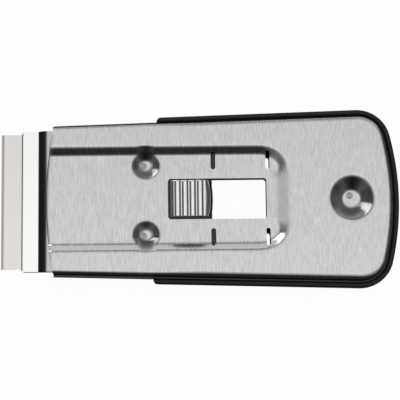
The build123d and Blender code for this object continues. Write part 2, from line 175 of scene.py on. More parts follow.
def casingBand(v, points, normals):
    # Profile carried round the outline: quarter round at the fold, upright wall, small foot radius
    # and flat flange
    bend = np.linspace(0.0, math.pi / 2, 11)
    foot = np.linspace(0.0, math.pi / 2, 4)
    base = v["middle"] + v["sheet"]
    radius = foldRadius(v, points)
    lower = np.append(v["footRadius"] * (1 - np.cos(foot)), v["flangeWidth"])
    footing = np.append(base + v["footRadius"] * (1 - np.sin(foot)), base)
    size = (len(points), len(lower))
    out = np.hstack([radius * (np.sin(bend) - 1), np.broadcast_to(lower, size)])
    level = np.hstack([v["face"] - radius * (1 - np.cos(bend)), np.broadcast_to(footing, size)])
    ring = points[:, None] + normals[:, None] * out[:, :, None]
    return np.concatenate([ring, level[:, :, None]], axis=-1)


def gridFaces(rows, columns, first=0):
    # Quads of a grid whose points run along each row in turn
    corner = first + np.arange(rows - 1)[:, None] * columns + np.arange(columns - 1)[None]
    return np.stack([corner, corner + columns, corner + columns + 1, corner + 1], axis=-1).reshape(-1, 4)


def newPiece(name, points, faces, materials, indices=None):
    # Smooth mesh object from points in millimetres and a list of faces
    mesh = bpy.data.meshes.new(name)
    mesh.from_pydata((points.reshape(-1, 3) * mm).tolist(), [], faces)
    for material in materials:
        mesh.materials.append(material)
    if indices is not None:
        mesh.polygons.foreach_set("material_index", indices)
    mesh.shade_smooth()
    piece = bpy.data.objects.new(name, mesh)
    scene.collection.objects.link(piece)
    return piece


def prism(name, outline, low, high):
    # Closed upright prism on an outline of points in millimetres
    count = len(outline)
    rings = np.concatenate([
        np.column_stack([outline, np.full(count, low)]), np.column_stack([outline, np.full(count, high)]),
    ])
    here = np.arange(count)
    after = (here + 1) % count
    mesh = bpy.data.meshes.new(name)
    walls = np.stack([here, after, after + count, here + count], axis=1).tolist()
    mesh.from_pydata((rings * mm).tolist(), [], walls + [here[::-1].tolist(), (here + count).tolist()])
    return bpy.data.objects.new(name, mesh)


def roundedBox(centreX, centreY, halfX, halfY, radius):
    # Outline of a rectangle with rounded corners: four quarter arcs in turn
    turn = np.linspace(0.0, math.pi / 2, 9)
    arcs = []
    for quarter, (signX, signY) in enumerate(((1, 1), (-1, 1), (-1, -1), (1, -1))):
        angle = turn + quarter * math.pi / 2
        middle = [centreX + signX * (halfX - radius), centreY + signY * (halfY - radius)]
        arcs.append(middle + radius * np.stack([np.cos(angle), np.sin(angle)], axis=1))
    return np.concatenate(arcs)


def casingShell(name, node, v, own):
    # One pressing: face and band welded, thickened inward, then its window and slits cut out
    points, normals = outlineFull(v)
    band = casingBand(v, points, normals)
    face = casingFace(v, points - foldRadius(v, points) * normals)
    faceQuads = gridFaces(*face.shape[:2])[:, ::-1]
    bandQuads = gridFaces(*band.shape[:2], first=face.shape[0] * face.shape[1])
    surface = np.concatenate([face.reshape(-1, 3), band.reshape(-1, 3)])
    quads = np.concatenate([faceQuads, bandQuads])
    if own["side"] < 0:
        surface[:, 2] = 2 * v["middle"] - surface[:, 2]
        quads = quads[:, ::-1]
    # Wall and flange faces take the near-black steel, painted shade
    columns = np.arange(len(bandQuads)) % (band.shape[1] - 1)
    walls = (columns >= v["shadedWallStart"]).astype(np.int32)
    indices = np.concatenate([np.zeros(len(faceQuads), np.int32), walls])
    piece = newPiece(name, surface, quads.tolist(), [casingSteel, shadedWallSteel], indices)
    weld = piece.modifiers.new("weld", "WELD")
    weld.merge_threshold = 0.002 * mm
    wall = piece.modifiers.new("wall", "SOLIDIFY")
    wall.thickness = v["sheet"] * mm
    wall.offset = -1.0
    wall.material_offset = 1
    middleX, halfX = (v["windowLow"] + v["windowHigh"]) / 2, (v["windowHigh"] - v["windowLow"]) / 2
    outlines = [roundedBox(middleX, 0.0, halfX, own["windowHalf"], v["windowCorner"])]
    for slitX, width in v["slits"]:
        for hand in (1, -1):
            place = hand * v["slitY"] + own["slitShift"]
            outlines.append(roundedBox(slitX, place, width / 2, v["slitLength"] / 2, width * v["slitRound"]))
    low, high = (v["middle"], 2 * v["face"]) if own["side"] > 0 else (-v["face"], v["middle"])
    cutters = [prism("cutter", outline, low, high) for outline in outlines]
    for cutter in cutters:
        scene.collection.objects.link(cutter)
        cut = piece.modifiers.new("cut", "BOOLEAN")
        cut.operation = "DIFFERENCE"
        cut.solver = "EXACT"
        cut.object = cutter
    bpy.context.view_layer.update()
    finished = bpy.data.meshes.new_from_object(piece.evaluated_get(bpy.context.evaluated_depsgraph_get()))
    piece.modifiers.clear()
    piece.data = finished
    finished.set_sharp_from_angle(angle=math.radians(40))
    for cutter in cutters:
        bpy.data.objects.remove(cutter)
    return takeOver(piece, node, "body")


def takeOver(piece, node, body):
    # The piece rides on the body and stands in for the CAD node
    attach(piece, body)
    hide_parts(node)
    print(piece.name, "made with", len(piece.data.polygons), "faces")
    return piece


def sweptLoop(name, rings, materials, sharp=38):
    # Closed tube through rings of points with a flat cap at both ends, its edges over the angle sharp
    # in degrees left hard
    count, size = rings.shape[:2]
    start = np.arange(count - 1)[:, None] * size
    here = np.arange(size)[None]
    after = (here + 1) % size
    walls = np.stack([start + here, start + size + here, start + size + after, start + after], axis=-1)
    caps = [np.arange(size).tolist(), (np.arange(size)[::-1] + (count - 1) * size).tolist()]
    piece = newPiece(name, rings, walls.reshape(-1, 4).tolist() + caps, materials)
    piece.data.set_sharp_from_angle(angle=math.radians(sharp))
    return piece


def turnedPart(name, v, materials):
    # Pin profile of radius and level, its lower half mirrored, turned round an upright axis at each
    # place; the poles are merged
    angle = np.linspace(0.0, 2 * math.pi, v["turns"], endpoint=False)
    circle = np.stack([np.cos(angle), np.sin(angle)], axis=-1)
    here = np.arange(v["turns"])
    after = (here + 1) % v["turns"]
    points, faces = [], []
    for x, y, seat in v["places"]:
        half = np.concatenate([[[v["shank"], 0.0], [v["shank"], seat]], np.array(v["ring"]) + [0.0, seat]])
        profile = np.concatenate([half[::-1], half[1:] * [1.0, -1.0]])
        size = (len(profile), v["turns"], 1)
        levels = np.broadcast_to(profile[:, None, 1:] + v["middle"], size)
        body = np.concatenate([profile[:, None, :1] * circle[None] + [x, y], levels], axis=-1)
        start = len(points) * len(profile) * v["turns"] + np.arange(len(profile) - 1)[:, None] * v["turns"]
        quads = [start + here, start + v["turns"] + here, start + v["turns"] + after, start + after]
        points.append(body.reshape(-1, 3))
        faces.append(np.stack(quads, axis=-1).reshape(-1, 4))
    piece = newPiece(name, np.concatenate(points), np.concatenate(faces).tolist(), materials)
    shape = bmesh.new()
    shape.from_mesh(piece.data)
    bmesh.ops.remove_doubles(shape, verts=shape.verts, dist=0.0005 * mm)
    bmesh.ops.recalc_face_normals(shape, faces=shape.faces)
    shape.to_mesh(piece.data)
    shape.free()
    return piece


def edgeTrim(v, outline):
    # Bead carried round the rear: a rounded oblong section with a slot for the flanges, whose outer
    # side draws in over a quarter circle at both ends
    points, normals = outlineFull(outline)
    steps = np.hypot(*np.diff(points, axis=0).T)
    along = np.concatenate([[0.0], np.cumsum(steps)])
    middle = len(points) // 2
    start = np.interp(v["leftFront"], points[:middle, 0], along[:middle])
    end = np.interp(-v["rightFront"], -points[middle:, 0], along[middle:])
    tip = v["endRound"] * (1 - np.cos(np.linspace(0.0, math.pi / 2, 9)))
    inner = along[(along > start + v["endRound"] + 0.1) & (along < end - v["endRound"] - 0.1)]
    places = np.concatenate([start + tip, inner, end - tip[::-1]])
    x, y, nx, ny = (np.interp(places, along, column) for column in (*points.T, *normals.T))
    size = np.hypot(nx, ny)
    turn = np.radians(np.linspace(-138.0, 138.0, v["sectionCount"]))
    power = 2 / v["squareness"]
    bulge = np.sign(np.cos(turn)) * np.abs(np.cos(turn)) ** power
    rise = np.sign(np.sin(turn)) * np.abs(np.sin(turn)) ** power
    out = v["crest"] + np.where(bulge > 0, v["outer"] - v["crest"], v["crest"] - v["lip"]) * bulge
    slotZ = v["slotHalf"] * np.array([1.0, 1.0, -1.0, -1.0])
    out = np.concatenate([out, [v["lip"], v["slotDepth"], v["slotDepth"], v["lip"]]])
    level = np.concatenate([v["halfHeight"] * rise, slotZ])
    near = np.minimum(places - start, end - places)
    draw = np.sqrt(1 - (1 - np.clip(near / v["endRound"], 0.0, 1.0)) ** 2)
    draw = (v["endShare"] + (1 - v["endShare"]) * draw)[:, None]
    reach = v["slotDepth"] + (out - v["slotDepth"])[None] * np.where(out > v["slotDepth"], draw, 1.0)
    reach = reach[:, :, None]
    base = np.stack([x, y], axis=-1)[:, None]
    outward = np.stack([nx / size, ny / size], axis=-1)[:, None]
    levels = np.broadcast_to((outline["middle"] + level)[None, :, None], (*reach.shape[:2], 1))
    rings = np.concatenate([base + outward * reach, levels], axis=-1)
    return sweptLoop("trimBead", rings, [trimRubber])


def jawPlate(v):
    # Sheet section carried across the tool: flat lip, ramp and raised rear, with closer steps at the
    # front edge and on the ramp; the front corners draw in
    x = np.concatenate([
        v["front"] + v["edge"] * (1 - np.cos(np.linspace(0.0, math.pi / 2, 7))),
        np.linspace(v["front"] + 0.6, v["rampFront"] - 0.6, 6),
        np.linspace(v["rampFront"] - 0.4, v["rampFront"] + v["rampRun"] + 0.4, 26),
        np.linspace(v["rampFront"] + v["rampRun"] + 0.8, v["rear"], 6),
    ])
    low = v["lipLow"] + v["rise"] * ramp((x - v["rampFront"]) / v["rampRun"], v["rampSoft"])
    near = np.clip((x - v["front"]) / v["edge"], 0.0, 1.0)
    rounding = v["edge"] * (1 - np.sqrt(1 - (1 - near) ** 2))
    section = np.concatenate([
        np.stack([x, low + v["sheet"] - rounding], axis=-1), np.stack([x, low], axis=-1)[::-1],
    ])
    corner = np.clip((section[:, 0] - v["front"]) / v["corner"], 0.0, 1.0)
    half = v["halfWidth"] - v["corner"] * (1 - np.sqrt(1 - (1 - corner) ** 2))
    hand = np.array([-1.0, -0.98, 0.98, 1.0])
    across = hand[:, None] * half[None]
    rings = np.stack([
        np.broadcast_to(section[None, :, 0], across.shape), across,
        np.broadcast_to(section[None, :, 1], across.shape),
    ], axis=-1)
    return sweptLoop("jawPlate", rings, [jawSteel])


def razorBlade(v):
    # Thin strip whose front is ground to an edge: bevel section carried across the tool
    section = np.array([
        [v["rear"], v["low"]], [v["front"] + 0.5 * v["bevel"], v["low"]],
        [v["front"], v["low"] + 0.4 * v["thick"]], [v["front"] + 0.02, v["low"] + 0.5 * v["thick"]],
        [v["front"] + v["bevel"], v["low"] + v["thick"]], [v["rear"], v["low"] + v["thick"]],
    ])
    across = np.array([-v["halfWidth"], v["halfWidth"]])
    rings = np.stack([
        np.broadcast_to(section[None, :, 0], (2, 6)), np.broadcast_to(across[:, None], (2, 6)),
        np.broadcast_to(section[None, :, 1], (2, 6)),
    ], axis=-1)
    return sweptLoop("razorBlade", rings, [bladeSteel], 10)


def ribbedButton(v):
    # Top line of a rounded shoulder, a cosine for the ribs and a longer shoulder, carried across with
    # rolled sides; the rear end bows outward. A shoulder drops by one less the root of one less a power
    share = np.sin(np.linspace(0.0, math.pi / 2, 18))
    drop = 1 - np.sqrt(1 - share ** v["shoulderPower"])
    ribs = np.linspace(v["firstValley"], v["lastValley"], 24 * v["ribCount"] + 1)
    wave = ((1 - np.cos(2 * math.pi * (ribs - v["firstValley"]) / v["pitch"])) / 2) ** v["ribPower"]
    valley = v["crest"] - v["ribHeight"]
    frontRun, rearRun = v["firstValley"] - v["front"], v["rear"] - v["lastValley"]
    x = np.concatenate([
        [v["front"]], v["firstValley"] - frontRun * share[::-1], ribs[1:-1],
        v["lastValley"] + rearRun * share, [v["rear"]],
    ])
    z = np.concatenate([
        [v["foot"]], valley - v["frontDrop"] * drop[::-1], valley + v["ribHeight"] * wave[1:-1],
        valley - v["rearDrop"] * drop, [v["foot"]],
    ])
    roll = np.linspace(0.0, math.pi / 2, 6)
    inset = v["sideRoll"] * (1 - np.cos(roll))
    sink = v["sideRoll"] * (1 - np.sin(roll))
    flat = np.linspace(-0.9, 0.9, 7) * v["halfWidth"]
    hand = np.concatenate([inset - v["halfWidth"], flat, v["halfWidth"] - inset[::-1]])
    sides = np.concatenate([sink, np.zeros(7), sink[::-1]])
    rearward = ramp((x - v["lastValley"]) / rearRun, 0.5)
    shift = -v["rearBow"] * rearward[None] * (hand[:, None] / v["halfWidth"]) ** 2
    level = np.maximum(z[None] - sides[:, None], v["foot"])
    rings = np.stack([x[None] + shift, np.broadcast_to(hand[:, None], level.shape), level], axis=-1)
    return sweptLoop("ribbedButton", rings, [buttonSteel])


def addNode(tree, kind, **settings):
    node = tree.nodes.new(kind)
    for name, value in settings.items():
        setattr(node, name, value)
    return node


def mathNode(tree, operation, first, second=None):
    node = addNode(tree, "ShaderNodeMath", operation=operation)
    for socket, value in zip(node.inputs, (first, second)):
        if isinstance(value, (int, float)):
            socket.default_value = value
        elif value is not None:
            tree.links.new(value, socket)
    return node.outputs[0]


def smoothStep(tree, value, low, high):
    # Zero at low, one at high and a soft step between
    step = addNode(tree, "ShaderNodeMapRange", interpolation_type="SMOOTHSTEP")
    step.inputs["From Min"].default_value = low
    step.inputs["From Max"].default_value = high
    tree.links.new(value, step.inputs["Value"])
    return step.outputs["Result"]


def dimmedAlong(tree, value, lossBelow, lossAbove):
    # One at zero, less the loss on each side times the distance
    below = mathNode(tree, "MULTIPLY", value, -lossBelow)
    above = mathNode(tree, "MULTIPLY", value, lossAbove)
    return mathNode(tree, "SUBTRACT", 1.0, mathNode(tree, "MAXIMUM", below, above))


def makeWorld(values):
    world = bpy.data.worlds.new("studio")
    world.use_nodes = True
    scene.world = world
    tree = world.node_tree
    background = tree.nodes["Background"]
    background.inputs["Color"].default_value = (1.0, 1.0, 1.0, 1.0)
    direction = addNode(tree, "ShaderNodeTexCoord")
    split = addNode(tree, "ShaderNodeSeparateXYZ")
    tree.links.new(direction.outputs["Generated"], split.inputs[0])
    sideways = mathNode(tree, "ABSOLUTE", split.outputs["X"])
    ending = smoothStep(tree, sideways, values["sideEnd"][1], values["sideEnd"][0])
    alongX = dimmedAlong(tree, split.outputs["X"], values["dimSide"], values["dimSide"])
    alongX = mathNode(tree, "MULTIPLY", alongX, mathNode(tree, "MAXIMUM", ending, values["sideLeft"]))
    alongY = dimmedAlong(tree, split.outputs["Y"], values["dimFront"], values["dimRear"])
    upward = mathNode(tree, "GREATER_THAN", split.outputs["Z"], 0.0)
    tent = mathNode(tree, "MULTIPLY", mathNode(tree, "MULTIPLY", alongX, alongY), upward)
    lit = mathNode(tree, "MULTIPLY", tent, values["tentStrength"])
    rearward = smoothStep(tree, split.outputs["Y"], *values["farWallStart"])
    low = smoothStep(tree, split.outputs["Z"], values["farWallTop"], values["farWallHeight"])
    wall = mathNode(tree, "MULTIPLY", mathNode(tree, "MULTIPLY", rearward, low), values["farWall"])
    wall = mathNode(tree, "MULTIPLY", wall, upward)
    light = mathNode(tree, "MAXIMUM", mathNode(tree, "MAXIMUM", lit, wall), values["surround"])
    path = addNode(tree, "ShaderNodeLightPath")
    choice = addNode(tree, "ShaderNodeMix", data_type="FLOAT")
    tree.links.new(path.outputs["Is Camera Ray"], choice.inputs["Factor"])
    tree.links.new(light, choice.inputs["A"])
    choice.inputs["B"].default_value = values["backdrop"]
    tree.links.new(choice.outputs["Result"], background.inputs["Strength"])


def makeFloor(values):
    half = values["floorHalf"]
    corners = [(-half, -half, 0), (half, -half, 0), (half, half, 0), (-half, half, 0)]
    mesh = bpy.data.meshes.new("floor")
    mesh.from_pydata(corners, [], [(0, 1, 2, 3)])
    floor = bpy.data.objects.new("floor", mesh)
    scene.collection.objects.link(floor)
    material = bpy.data.materials.new("paleFloor")
    material.use_nodes = True
    tree = material.node_tree
    shader = tree.nodes["Principled BSDF"]
    shader.inputs["Base Color"].default_value = (*[values["floorDiffuse"]] * 3, 1.0)
    shader.inputs["Roughness"].default_value = 0.9
    path = addNode(tree, "ShaderNodeLightPath")
    glow = addNode(tree, "ShaderNodeEmission")
    dark = addNode(tree, "ShaderNodeEmission")
    dark.inputs["Strength"].default_value = values["floorGlossy"]
    white = addNode(tree, "ShaderNodeMixShader")
    mirrored = addNode(tree, "ShaderNodeMixShader")
    share = mathNode(tree, "MULTIPLY", path.outputs["Is Camera Ray"], values["floorGlow"])
    tree.links.new(share, white.inputs["Fac"])
    tree.links.new(shader.outputs["BSDF"], white.inputs[1])
    tree.links.new(glow.outputs["Emission"], white.inputs[2])
    tree.links.new(path.outputs["Is Glossy Ray"], mirrored.inputs["Fac"])
    tree.links.new(white.outputs["Shader"], mirrored.inputs[1])
    tree.links.new(dark.outputs["Emission"], mirrored.inputs[2])
    tree.links.new(mirrored.outputs["Shader"], tree.nodes["Material Output"].inputs["Surface"])
    mesh.materials.append(material)


def makeLamp(values):
    data = bpy.data.lights.new("sideLamp", "AREA")
    data.shape = "RECTANGLE"
    data.size, data.size_y = values["size"]
    data.energy = values["watts"]
    lamp = bpy.data.objects.new("sideLamp", data)
    scene.collection.objects.link(lamp)
    lamp.location = values["place"]
    lamp.rotation_euler = (-Vector(values["place"])).to_track_quat("-Z", "Y").to_euler()


def makeBrushGroup():
    # Long fine lines along Y with faint blotches, given as a tone about one and a height
    group = bpy.data.node_groups.new("brushLines", "ShaderNodeTree")
    face = group.interface
    for name in ("Line Width", "Line Length", "Depth", "Blotch Size", "Blotch Depth"):
        face.new_socket(name=name, in_out="INPUT", socket_type="NodeSocketFloat")
    for name in ("Tone", "Height"):
        face.new_socket(name=name, in_out="OUTPUT", socket_type="NodeSocketFloat")
    source = group.nodes.new("NodeGroupInput")
    result = group.nodes.new("NodeGroupOutput")
    coords = addNode(group, "ShaderNodeTexCoord")
    scales = addNode(group, "ShaderNodeCombineXYZ")
    for axis, socket in (("X", "Line Width"), ("Y", "Line Length"), ("Z", "Line Length")):
        perMetre = mathNode(group, "DIVIDE", 1 / mm, source.outputs[socket])
        group.links.new(perMetre, scales.inputs[axis])
    stretched = addNode(group, "ShaderNodeVectorMath", operation="MULTIPLY")
    group.links.new(coords.outputs["Object"], stretched.inputs[0])
    group.links.new(scales.outputs["Vector"], stretched.inputs[1])
    lines = addNode(group, "ShaderNodeTexNoise")
    lines.inputs["Scale"].default_value = 1.0
    lines.inputs["Detail"].default_value = 3.0
    lines.inputs["Roughness"].default_value = 0.6
    group.links.new(stretched.outputs["Vector"], lines.inputs["Vector"])
    blotches = addNode(group, "ShaderNodeTexNoise")
    blotches.inputs["Detail"].default_value = 2.0
    group.links.new(coords.outputs["Object"], blotches.inputs["Vector"])
    perMetre = mathNode(group, "DIVIDE", 1 / mm, source.outputs["Blotch Size"])
    group.links.new(perMetre, blotches.inputs["Scale"])
    lineShift = mathNode(group, "SUBTRACT", lines.outputs["Fac"], 0.5)
    blotchShift = mathNode(group, "SUBTRACT", blotches.outputs["Fac"], 0.5)
    linePart = mathNode(group, "MULTIPLY", lineShift, source.outputs["Depth"])
    blotchPart = mathNode(group, "MULTIPLY", blotchShift, source.outputs["Blotch Depth"])
    total = mathNode(group, "ADD", linePart, blotchPart)
    group.links.new(mathNode(group, "ADD", total, 1.0), result.inputs["Tone"])
    group.links.new(lines.outputs["Fac"], result.inputs["Height"])
    return group


def ringMask(tree, spots):
    # One on the sloping ring of each round dimple, from the distance to its centre
    coords = addNode(tree, "ShaderNodeTexCoord")
    flat = addNode(tree, "ShaderNodeVectorMath", operation="MULTIPLY")
    flat.inputs[1].default_value = (1.0, 1.0, 0.0)
    tree.links.new(coords.outputs["Object"], flat.inputs[0])
    total = None
    for centreX, centreY, rim, disc in spots:
        distance = addNode(tree, "ShaderNodeVectorMath", operation="DISTANCE")
        distance.inputs[1].default_value = (centreX * mm, centreY * mm, 0.0)
        tree.links.new(flat.outputs["Vector"], distance.inputs[0])
        outer = smoothStep(tree, distance.outputs["Value"], rim * mm, (rim - 1.5) * mm)
        inner = smoothStep(tree, distance.outputs["Value"], (disc - 0.2) * mm, (disc + 0.7) * mm)
        ring = mathNode(tree, "MULTIPLY", outer, inner)
        total = ring if total is None else mathNode(tree, "MAXIMUM", total, ring)
    return total


def bandMask(tree, start, end, soft):
    # One between two places along X, with a soft step at each
    coords = addNode(tree, "ShaderNodeTexCoord")
    split = addNode(tree, "ShaderNodeSeparateXYZ")
    tree.links.new(coords.outputs["Object"], split.inputs[0])
    rising = smoothStep(tree, split.outputs["X"], (start - soft[0]) * mm, (start + soft[0]) * mm)
    falling = smoothStep(tree, split.outputs["X"], (end + soft[1]) * mm, (end - soft[1]) * mm)
    return mathNode(tree, "MULTIPLY", rising, falling)


def brushedSteel(name, values):
    material = bpy.data.materials.new(name)
    material.use_nodes = True
    tree = material.node_tree
    shader = tree.nodes["Principled BSDF"]
    shader.inputs["Metallic"].default_value = 1.0
    shader.inputs["Anisotropic"].default_value = values["anisotropic"]
    tangent = addNode(tree, "ShaderNodeCombineXYZ")
    tangent.inputs["X"].default_value = 1.0
    tree.links.new(tangent.outputs["Vector"], shader.inputs["Tangent"])
    brush = addNode(tree, "ShaderNodeGroup", node_tree=brushGroup)
    brush.inputs["Line Width"].default_value = values["lineWidth"]
    brush.inputs["Line Length"].default_value = values["lineLength"]
    brush.inputs["Depth"].default_value = values["lineDepth"]
    brush.inputs["Blotch Size"].default_value = values["blotchSize"]
    brush.inputs["Blotch Depth"].default_value = values["blotchDepth"]
    tone = addNode(tree, "ShaderNodeVectorMath", operation="SCALE")
    tone.inputs[0].default_value = values["color"]
    factor = brush.outputs["Tone"]
    rough = mathNode(tree, "MULTIPLY", factor, values["roughness"])
    # Each mask of painted shade lowers the tone by its loss and the roughness by its smooth share
    shadeMasks = [(bandMask(tree, *band), loss, smooth) for band, loss, smooth in values.get("shadeBands", ())]
    # Painted shade on the sloping rings of the round dimples
    if "shadeRingSpots" in values:
        shadeMasks.append((ringMask(tree, values["shadeRingSpots"]), values["ringShadeLoss"], 0.0))
    for mask, loss, smooth in shadeMasks:
        kept = mathNode(tree, "SUBTRACT", 1.0, mathNode(tree, "MULTIPLY", mask, loss))
        factor = mathNode(tree, "MULTIPLY", factor, kept)
        smoother = mathNode(tree, "SUBTRACT", 1.0, mathNode(tree, "MULTIPLY", mask, smooth))
        rough = mathNode(tree, "MULTIPLY", rough, smoother)
    tree.links.new(factor, tone.inputs["Scale"])
    tree.links.new(tone.outputs["Vector"], shader.inputs["Base Color"])
    tree.links.new(rough, shader.inputs["Roughness"])
    bump = addNode(tree, "ShaderNodeBump")
    bump.inputs["Strength"].default_value = values["bump"]
    bump.inputs["Distance"].default_value = values["bumpDepth"] * mm
    tree.links.new(brush.outputs["Height"], bump.inputs["Height"])
    tree.links.new(bump.outputs["Normal"], shader.inputs["Normal"])
    return material


def speckled(name, values):
    # Moulded or tumbled surface: one colour with a fine grain in tone and height
    material = bpy.data.materials.new(name)
    material.use_nodes = True
    tree = material.node_tree
    shader = tree.nodes["Principled BSDF"]
    shader.inputs["Metallic"].default_value = values["metallic"]
    shader.inputs["Specular IOR Level"].default_value = values["specular"]
    coords = addNode(tree, "ShaderNodeTexCoord")
    grain = addNode(tree, "ShaderNodeTexNoise")
    grain.inputs["Scale"].default_value = 1.0 / (values["grainSize"] * mm)
    grain.inputs["Detail"].default_value = 4.0
    tree.links.new(coords.outputs["Object"], grain.inputs["Vector"])
    shift = mathNode(tree, "SUBTRACT", grain.outputs["Fac"], 0.5)
    factor = mathNode(tree, "ADD", mathNode(tree, "MULTIPLY", shift, values["grainDepth"]), 1.0)
    tone = addNode(tree, "ShaderNodeVectorMath", operation="SCALE")
    tone.inputs[0].default_value = values["color"]
    tree.links.new(factor, tone.inputs["Scale"])
    tree.links.new(tone.outputs["Vector"], shader.inputs["Base Color"])
    tree.links.new(mathNode(tree, "MULTIPLY", factor, values["roughness"]), shader.inputs["Roughness"])
    bump = addNode(tree, "ShaderNodeBump")
    bump.inputs["Strength"].default_value = values["bump"]
    bump.inputs["Distance"].default_value = values["bumpDepth"] * mm
    tree.links.new(grain.outputs["Fac"], bump.inputs["Height"])
    tree.links.new(bump.outputs["Normal"], shader.inputs["Normal"])
    return material


def dress(names, material):
    for name in names:
        for slot in nodes[name].material_slots:
            slot.material = material


# Camera of the photograph, fitted to edges measured in it
cameraValues = {
    "position": (-6.04, -65.43, 442.57),        # millimetres
    "turn": (8.507, -0.713, -0.668),            # degrees about X, Y and Z
    "focalPixels": 1501.9,
    "imagePixels": 400.0,
    "sensor": 36.0,
}
makeCamera(cameraValues)

# Surroundings: an overhead tent that dims toward the horizon, darkest in front, with a pale far wall
studioValues = {
    "tentStrength": 1.15,
    "dimSide": 0.15,                            # loss at the horizon
    "sideEnd": (0.62, 0.88),                    # sines where the tent starts to darken and is dark
    "sideLeft": 0.1,
    "dimFront": 1.07,
    "dimRear": 0.8,
    "farWall": 1.0,
    "farWallStart": (0.5, 0.75),                # sines along Y where the far wall starts and is full
    "farWallHeight": 0.14,
    "farWallTop": 0.19,
    "surround": 0.012,
    "backdrop": 1.0,
    "floorHalf": 3.0,                           # metres
    "floorGlossy": 0.03,
    "floorDiffuse": 0.9,
    "floorGlow": 0.97,
}
makeWorld(studioValues)
makeFloor(studioValues)

# Lamp at the upper left, which gives the crescents in the dimples
lampValues = {
    "place": (-0.45, 0.49, 0.19),               # metres
    "size": (0.42, 0.12),
    "watts": 0.8,
}
makeLamp(lampValues)
print("camera and studio made")

brushGroup = makeBrushGroup()

# Casing in millimetres, fitted to the photograph, with the soft bends of a real pressing
shellLow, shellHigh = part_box("front_shell")
casing = {
    "frontHalfWidth": 21.5,
    "sideFlare": math.radians(1.73),
    "frontRadius": 111.0,
    "rearRadius": 77.7,
    "cornerRadius": 7.7,
    "flangeWidth": 0.84,
    "frontX": shellLow.x / mm,
    "rearApex": shellHigh.x / mm - 0.84,
    "face": shellHigh.z / mm,
    "middle": shellLow.z / mm,
    "sheet": 0.6,
    "foldRadius": (1.0, 1.55),                  # at the front and from the grip rearward
    "foldChange": (-18.0, 4.0),
    "frontRoll": 0.55,                          # rolled front edge: radius, ends, share of a quarter turn
    "rollEnd": 1.2,
    "rollFade": 1.5,
    "rollShare": 0.94,
    "shadedWallStart": 9,                             # step of the profile where the near-black wall steel begins: painted shade
    "footRadius": 0.3,
    "channelHalfWidth": 15.8,
    "straightMargin": 1.0,
    "channelRear": 27.5,
    "channelCorner": 10.0,
    "channelDepth": 1.9,
    "wallRun": 3.15,
    "rearWallRun": 6.2,
    "channelSoft": 0.27,
    "channelDimples": ((-15.7, 10.2, 6.4, 0.9, 3.5), (-15.7, -10.5, 6.1, 0.9, 3.5)),
    "rearDimple": (44.65, -0.3, 7.0, 2.1, 3.2),         # each x, y, outer and inner radius, depth
    "floorStretch": 0.78,
    "blend": 0.3,
    "dimpleSoft": 0.2,
    "windowLow": -9.24,
    "windowHigh": 19.7,
    "windowCorner": 0.9,
    "slitY": 11.35,
    "slitLength": 5.2,
    "slitRound": 0.5,
    "slits": ((4.05, 1.4), (20.1, 1.2)),        # place along X and width
    "sideCount": 180,
    "cornerCount": 10,
    "rearCount": 76,
    # Where the mesh is finer along and across: centre, width and height of each peak
    "lengthPeaks": ((-44.2, 1.4, 3.5), (-15.7, 6.0, 2.2), (24.0, 4.0, 1.0), (42.0, 8.0, 2.2)),
    "widthPeaks": ((14.3, 1.6, 2.0), (7.0, 7.5, 1.0)),
}
# What differs between the two shells: the side they face, half the window's width, the slits' shift
frontOwn = {"side": 1, "windowHalf": 6.0, "slitShift": 0.0}
backOwn = {"side": -1, "windowHalf": 6.3, "slitShift": -1.1}
# Painted shade on the sloping rings of the dimples: x, y, outer and inner radius
paintedShadeRings = [(*spot[:2], 4.8, 1.2) for spot in casing["channelDimples"]]
paintedShadeRings.append((*casing["rearDimple"][:2], 7.1, 2.5))
casingSteel = brushedSteel("casingSteel", {
    "color": (0.6, 0.6, 0.597), "roughness": 0.23, "anisotropic": 0.85,
    "lineWidth": 0.2, "lineLength": 2.8, "lineDepth": 1.0,
    "blotchSize": 3.0, "blotchDepth": 0.12, "bump": 0.1, "bumpDepth": 0.015,
    "shadeRingSpots": paintedShadeRings,
    "ringShadeLoss": 0.52,
})
# Near-black copy of the casing steel for the walls, flange and inner side of the same pressing: painted
# shade
shadedWallSteel = brushedSteel("shadedWallSteel", {
    "color": (0.05, 0.05, 0.05), "roughness": 0.3, "anisotropic": 0.3,
    "lineWidth": 0.4, "lineLength": 3.0, "lineDepth": 0.3,
    "blotchSize": 4.0, "blotchDepth": 0.2, "bump": 0.1, "bumpDepth": 0.01,
})
casingShell("frontCasing", "front_shell", casing, frontOwn)
casingShell("backCasing", "back_shell", casing, backOwn)

jawSteel = brushedSteel("jawSteel", {
    "color": (0.93, 0.93, 0.925), "roughness": 0.22, "anisotropic": 0.4,
    "lineWidth": 0.3, "lineLength": 12.0, "lineDepth": 0.05,
    "blotchSize": 12.0, "blotchDepth": 0.06, "bump": 0.05, "bumpDepth": 0.01,
    # Painted shade: a near-black strip on the ramp behind the lip and a duller stretch under the casing's
    # front edge
    "shadeBands": (((-47.4, -44.9, (0.1, 0.4)), 0.965, -0.6), ((-45.4, -40.0, (0.6, 0.5)), 0.4, -0.3)),
})
jaw = {
    "front": -52.05,
    "rear": -35.2,
    "lipLow": 4.46,
    "sheet": 0.6,
    "rampFront": -47.45,
    "rampRun": 2.1,
    "rampSoft": 0.2,
    "rise": 0.9,
    "edge": 0.2,
    "corner": 0.4,
    "halfWidth": 20.85,
}
takeOver(jawPlate(jaw), "clamp_jaw", "carriage")

